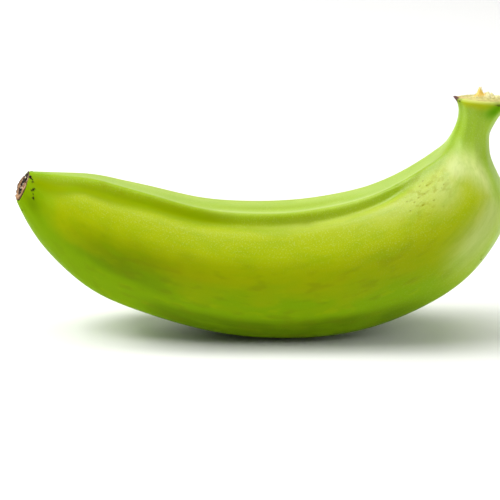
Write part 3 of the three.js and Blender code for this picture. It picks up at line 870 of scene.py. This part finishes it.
def peelMaterial():
    # Unripe plantain peel, waxy: yellow-green belly, pure green ends, deeper green below that is partly
    # painted shade, painted shade along the sole, in the furrow, at the neck's foot and under the cut,
    # painted highlights as a soft pale sheen, faint lengthwise fibres and a few brown flecks. The stipple
    # stands for pores that are too fine to show, so it is drawn about ten times coarser.
    look = {
        "green": "#97b50c", "yellow": "#a9b900", "olive": "#9caa00", "deep": "#82a800", "fresh": "#a0c232",
        # pale is the colour of the painted highlights and of the stipple; the sole's, the furrow's and the
        # undercut's colours paint shade
        "pale": "#c7d47e", "sole": "#5f7e00", "troughShade": "#8a9f00", "undercutShade": "#529400", "stain": "#76800a",
        "brown": "#74740a", "ochre": "#8c8c06", "black": "#241a12", "lip": "#b6bc04",
        "edge": "#cdd27c", "corner": "#5e3d3c",
        # sizes in mm
        "patchSize": 16, "mottleSize": 4.5, "stainSize": 3.2, "blushSize": 2.2, "fleckSpacing": 1.6,
        "fibreSpacing": 1.3, "stippleSize": 0.55,
        "blushShare": 0.5, "fleckShare": 0.48, "roughness": 0.40, "gloss": 0.50,
    }
    material, tree, shader = newMaterial("green_plantain_peel")
    laid = addNode(tree, "Attribute", {}, "Vector", attribute_name="straight")
    tones = [layer.name for layer in peelPiece.data.attributes if layer.data_type == "FLOAT"]
    tone = {label: addNode(tree, "Attribute", {}, "Fac", attribute_name=label) for label in tones}

    def pattern(stretch, size, detail):
        # Noise laid along the fruit; size in mm, stretch along its length.
        stretched = addNode(tree, "VectorMath", {0: laid, 1: (1 / stretch, 1, 1)}, operation="MULTIPLY")
        return addNode(tree, "TexNoise", {"Vector": stretched, "Scale": 1 / size, "Detail": detail})

    def layer(colour, label, *reaches, most=1.0):
        return paint(tree, colour, look[label], *reaches, most=most)

    patches = pattern(2, look["patchSize"], 4)
    mottle = pattern(2.5, look["mottleSize"], 4)
    threads = pattern(14, look["fibreSpacing"], 3)
    stipple = pattern(1, look["stippleSize"], 2)

    # the tones, their borders moved by the patches and the mottling; deep is partly painted shade, the sole's
    # and the furrow's tones are painted shade
    uneven = addNode(tree, "Math", {0: mottle, 1: 0.25, 2: -0.375}, operation="MULTIPLY_ADD")
    uneven = addNode(tree, "Math", {0: patches, 1: 0.5, 2: uneven}, operation="MULTIPLY_ADD")
    colour = hexColour(look["green"])
    for label in ("yellow", "olive", "deep", "sole", "fresh", "troughShade"):
        share = addNode(tree, "Math", {0: uneven, 1: tone[label]}, operation="ADD")
        colour = layer(colour, label, (share, (0.02, 0.98)))
    # painted highlights, laid on in the pale colour
    colour = layer(colour, "pale", (tone["pale"], None))

    # mottling, faint stains and lighter blooms on the belly, fibres and stipple
    colour = layer(colour, "deep", (mottle, (0.42, 0.68)), most=0.22)
    stains = pattern(3, look["stainSize"], 2)
    colour = layer(colour, "stain", (stains, (0.50, 0.70)), (tone["olive"], None), most=0.30)
    belly = addNode(tree, "Math", {0: tone["olive"], 1: tone["sole"]}, operation="SUBTRACT", use_clamp=True)
    blooms = pattern(2.5, look["stainSize"], 2)
    colour = layer(colour, "yellow", (blooms, (0.44, 0.26)), (belly, None), most=0.25)
    colour = layer(colour, "deep", (threads, (0.45, 0.75)), most=0.18)
    colour = layer(colour, "pale", (stipple, (0.50, 0.70)), (tone["gloss"], (0.0, 0.4)), most=0.20)
    colour = layer(colour, "ochre", (tone["bruise"], None), most=0.3)

    # brown flecks: small cells' middles, kept where the skin is speckled, in an ochre blush
    stretched = addNode(tree, "VectorMath", {0: laid, 1: (0.55, 1, 1)}, operation="MULTIPLY")
    cells = {"Vector": stretched, "Scale": 1 / look["fleckSpacing"]}
    chance = addNode(tree, "SeparateColor", {"Color": addNode(tree, "TexVoronoi", cells, "Color")})
    chance = addNode(tree, "Math", {0: tone["speckle"], 1: chance}, operation="SUBTRACT")
    fleck = shareOf(tree, (addNode(tree, "TexVoronoi", cells), (0.30, 0.12)), (chance, (0.2, 0.5)))
    fleck = shareOf(tree, (fleck, None), most=look["fleckShare"])
    flush = (pattern(2, look["blushSize"], 3), (0.5, 0.68))
    blush = shareOf(tree, (tone["speckle"], None), flush, most=look["blushShare"])
    colour = layer(colour, "ochre", (blush, None))
    colour = layer(colour, "brown", (fleck, None))

    # the ends: cut edge, painted shade in the hollow under it, torn corner, dried scabs
    colour = layer(colour, "lip", (tone["lip"], None), most=0.8)
    colour = layer(colour, "undercutShade", (tone["undercutShade"], None), most=0.9)
    for label, mark in (("edge", "edge"), ("corner", "corner"), ("black", "scab")):
        colour = layer(colour, label, (tone[mark], None))
    tree.links.new(colour, shader.inputs["Base Color"])

    rough = {0: patches, 1: 0.12, 2: look["roughness"] - 0.06}
    rough = addNode(tree, "Math", rough, operation="MULTIPLY_ADD")
    rough = addNode(tree, "Math", {0: tone["scab"], 1: 0.35, 2: rough}, operation="MULTIPLY_ADD")
    tree.links.new(rough, shader.inputs["Roughness"])
    grain = addNode(tree, "Math", {0: threads, 1: 0.6, 2: stipple}, operation="MULTIPLY_ADD")
    bump = addNode(tree, "Bump", {"Height": grain, "Strength": 0.35, "Distance": 0.06 * mm})
    tree.links.new(bump, shader.inputs["Normal"])
    shader.inputs["IOR"].default_value = 1.45
    moisten(shader, 0.12, (1.0, 1.0, 0.25), 1.5)
    marks = addNode(tree, "Math", {0: fleck, 1: blush}, operation="ADD", use_clamp=True)
    clean = addNode(tree, "Math", {0: marks, 1: -look["gloss"], 2: look["gloss"]}, operation="MULTIPLY_ADD")
    sheen = addNode(tree, "Math", {0: tone["gloss"], 1: clean}, operation="MULTIPLY")
    tree.links.new(sheen, shader.inputs["Specular IOR Level"])
    return material


def corkMaterial():
    # Dry cork of the blossom scar, torn: a thin tan rim with dark edges, brown hollows, pale crumbs.
    look = {"tan": "#b08862", "brown": "#5a3c2a", "dark": "#1c110d", "pale": "#efe3c6",
            "crumbSize": 0.9, "grainSize": 0.35, "rim": ((0.72, 0.80), (0.96, 0.92))}
    material, tree, shader = newMaterial("blossom_scar_cork")
    place = addNode(tree, "TexCoord", {}, "Object")
    share, height, front = (addNode(tree, "Attribute", {}, "Fac", attribute_name=label)
                            for label in ("share", "height", "front"))
    crumbs = addNode(tree, "TexNoise", {"Vector": place, "Scale": 1 / (look["crumbSize"] * mm), "Detail": 3})
    grain = addNode(tree, "TexNoise", {"Vector": place, "Scale": 1 / (look["grainSize"] * mm), "Detail": 2})
    mixed = addNode(tree, "Math", {0: crumbs, 1: 0.9, 2: height}, operation="MULTIPLY_ADD")
    colour = paint(tree, hexColour(look["dark"]), look["brown"], (mixed, (0.45, 0.95)))
    colour = paint(tree, colour, look["tan"], (mixed, (0.75, 1.0)), (share, (0.86, 0.74)))
    colour = paint(tree, colour, look["pale"], (crumbs, (0.57, 0.66)), (share, (0.84, 0.72)))
    inner, outer = look["rim"]
    wavy = addNode(tree, "Math", {0: crumbs, 1: 0.16, 2: share}, operation="MULTIPLY_ADD")
    wavy = addNode(tree, "Math", {0: wavy, 1: 0.08}, operation="SUBTRACT")
    colour = paint(tree, colour, look["tan"], (wavy, inner), (share, outer), (front, (0.45, 0.9)))
    colour = paint(tree, colour, look["dark"], (grain, (0.42, 0.34)), most=0.7)
    tree.links.new(colour, shader.inputs["Base Color"])
    shader.inputs["Roughness"].default_value = 0.8
    shader.inputs["Specular IOR Level"].default_value = 0.2
    bump = addNode(tree, "Bump", {"Height": grain, "Strength": 0.6, "Distance": 0.15 * mm})
    tree.links.new(bump, shader.inputs["Normal"])
    return material


def fleshMaterial():
    # Moist fibrous flesh of the cut stem: cream with rings of darker bundles, brown dots,
    # amber where it was torn up and a dried brown corner.
    look = {"cream": "#cbc178", "straw": "#a79c42", "amber": "#f0cc58", "fluff": "#f2ebb2",
            "brown": "#6a4526", "crust": "#c8a862", "rings": 46, "ringWobble": 7, "wobbleSize": 2.5,
            "dotSpacing": 1.7, "grainSize": 0.5}
    material, tree, shader = newMaterial("stem_flesh")
    place = addNode(tree, "TexCoord", {}, "Object")
    share, spike, fluff, corner = (addNode(tree, "Attribute", {}, "Fac", attribute_name=label)
                                   for label in ("share", "spike", "fluff", "corner"))
    grain = addNode(tree, "TexNoise", {"Vector": place, "Scale": 1 / (look["grainSize"] * mm), "Detail": 3})
    wobble = addNode(tree, "TexNoise", {"Vector": place, "Scale": 1 / (look["wobbleSize"] * mm), "Detail": 2})
    wobble = addNode(tree, "Math", {0: wobble, 1: look["ringWobble"]}, operation="MULTIPLY")
    rings = addNode(tree, "Math", {0: share, 1: look["rings"], 2: wobble}, operation="MULTIPLY_ADD")
    rings = addNode(tree, "Math", {0: rings}, operation="SINE")
    colour = paint(tree, hexColour(look["cream"]), look["straw"], (rings, (0.0, 1.0)), most=0.55)
    colour = paint(tree, colour, look["fluff"], (fluff, (0.05, 0.6)))
    colour = paint(tree, colour, look["amber"], (spike, (0.08, 0.45)))
    colour = paint(tree, colour, look["fluff"], (spike, (0.6, 1.1)))
    dots = addNode(tree, "TexVoronoi", {"Vector": place, "Scale": 1 / (look["dotSpacing"] * mm)})
    colour = paint(tree, colour, look["brown"], (dots, (0.2, 0.1)), most=0.6)
    flaky = addNode(tree, "Math", {0: grain, 1: 0.35, 2: corner}, operation="MULTIPLY_ADD")
    colour = paint(tree, colour, look["crust"], (flaky, (0.28, 0.5)))
    colour = paint(tree, colour, look["brown"], (flaky, (0.75, 1.0)))
    tree.links.new(colour, shader.inputs["Base Color"])
    shader.inputs["Roughness"].default_value = 0.55
    moisten(shader, 0.2, (1.0, 0.8, 0.4), 0.8)
    bump = addNode(tree, "Bump", {"Height": grain, "Strength": 0.5, "Distance": 0.15 * mm})
    tree.links.new(bump, shader.inputs["Normal"])
    return material


def fibreMaterial():
    # Torn strands of the same flesh, drying amber.
    look = {"amber": "#d6b050", "cream": "#ebe6b6", "grainSize": 0.6}
    material, tree, shader = newMaterial("torn_stem_fibre")
    place = addNode(tree, "TexCoord", {}, "Object")
    grain = addNode(tree, "TexNoise", {"Vector": place, "Scale": 1 / (look["grainSize"] * mm), "Detail": 2})
    colour = paint(tree, hexColour(look["amber"]), look["cream"], (grain, (0.35, 0.5)))
    tree.links.new(colour, shader.inputs["Base Color"])
    shader.inputs["Roughness"].default_value = 0.6
    moisten(shader, 0.2, (1.0, 0.8, 0.4), 0.5)
    return material


finishes = [(peelPiece, peelMaterial, "peel"), (scarPiece, corkMaterial, "cork"),
            (cutPiece, fleshMaterial, "stem_flesh"), (fibrePiece, fibreMaterial, "stem_flesh")]
for piece, makeMaterial, slot in finishes:
    piece.data.materials.append(makeMaterial())
    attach(piece, "root")
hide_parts("plantain")
print("materials on, pieces riding on the root")


studio = {
    "floorSize": 6.0,
    "floorColour": "#f4f4f2",
    "glowFrom": 0.7,      # the floor glows white from here outwards, m
    "glowTo": 1.6,
    # light from all round, and how white the room looks behind the floor
    "worldLight": 0.1,
    "worldSeen": 0.95,
    # each softbox: place, width and height in metres, power in watts, what it is aimed at
    "softboxes": {
        "left": ((-0.66, -0.08, 0.9), (0.62, 0.52), 8.4),
        "right": ((0.52, -0.42, 0.55), (0.40, 0.30), 0.95),
        "front": ((0.0, -0.28, 1.1), (1.2, 0.5), 1.1),
        "overhead": ((0.0, 0.2, 1.12), (1.4, 0.5), 7.8),
        "backdrop": ((0.0, 1.4, 0.45), (3.0, 0.9), 8.4),
        "rightLow": ((0.8, -0.3, 0.3), (0.5, 0.4), 1.15),
        "leftBack": ((-0.9, 0.5, 0.6), (0.6, 0.6), 3.8),
        "farFloor": ((0, -0.95, 0.9), (3.6, 0.5), 26, (0, -2.6, 0)),
    },
}


def addFloor():
    # A large white square that glows more and more away from the fruit.
    half = studio["floorSize"] / 2
    mesh = bpy.data.meshes.new("floor")
    corners = [(-half, -half, 0), (half, -half, 0), (half, half, 0), (-half, half, 0)]
    mesh.from_pydata(corners, [], [(0, 1, 2, 3)])
    floor = bpy.data.objects.new("floor", mesh)
    bpy.context.scene.collection.objects.link(floor)
    material, tree, shader = newMaterial("white_sweep")
    shader.inputs["Base Color"].default_value = hexColour(studio["floorColour"])
    shader.inputs["Roughness"].default_value = 0.9
    shader.inputs["Specular IOR Level"].default_value = 0.1
    place = addNode(tree, "TexCoord", {}, "Object")
    away = addNode(tree, "VectorMath", {0: place}, "Value", operation="LENGTH")
    glow = shareOf(tree, (away, (studio["glowFrom"], studio["glowTo"])))
    shader.inputs["Emission Color"].default_value = (1, 1, 1, 1)
    tree.links.new(glow, shader.inputs["Emission Strength"])
    mesh.materials.append(material)


def addSoftbox(name, place, size, power, target=(0, 0, 0.04)):
    # A rectangular light turned towards its target.
    light = bpy.data.lights.new(name, "AREA")
    light.shape = "RECTANGLE"
    light.size, light.size_y = size
    light.energy = power
    lamp = bpy.data.objects.new(name, light)
    lamp.location = place
    aim = np.array(target) - np.array(place)
    lamp.rotation_euler = Vector(aim).to_track_quat("-Z", "Y").to_euler()
    bpy.context.scene.collection.objects.link(lamp)


def addWorld():
    # A white room: it looks white, but gives only a little light.
    world = bpy.data.worlds.new("white_studio")
    world.use_nodes = True
    tree = world.node_tree
    background = tree.nodes["Background"]
    background.inputs["Color"].default_value = (1, 1, 1, 1)
    seen = addNode(tree, "LightPath", {}, "Is Camera Ray")
    strength = addNode(tree, "MapRange", {0: seen, 3: studio["worldLight"], 4: studio["worldSeen"]})
    tree.links.new(strength, background.inputs["Strength"])
    bpy.context.scene.world = world


def addCamera():
    # Raised 18 degrees in front of the fruit; the frame takes in 195 mm at its distance.
    view = {"elevation": 18, "distance": 850, "framedWidth": 195, "target": (-5.01, 0, 32.23), "sensor": 36}
    tilt = np.radians(view["elevation"])
    place = np.array(view["target"]) + view["distance"] * np.array([0, -np.cos(tilt), np.sin(tilt)])
    camera = bpy.data.cameras.new("camera")
    camera.sensor_width = view["sensor"]
    camera.lens = view["sensor"] * view["distance"] / view["framedWidth"]
    camera.clip_start = 0.01
    camera.clip_end = 50
    eye = bpy.data.objects.new("camera", camera)
    eye.location = place * mm
    eye.rotation_euler = (np.pi / 2 - tilt, 0, 0)
    bpy.context.scene.collection.objects.link(eye)
    bpy.context.scene.camera = eye


addFloor()
for name, settings in studio["softboxes"].items():
    addSoftbox(name, *settings)
addWorld()
addCamera()
bpy.context.scene.view_settings.view_transform = "Standard"
print("floor, lights and camera set")
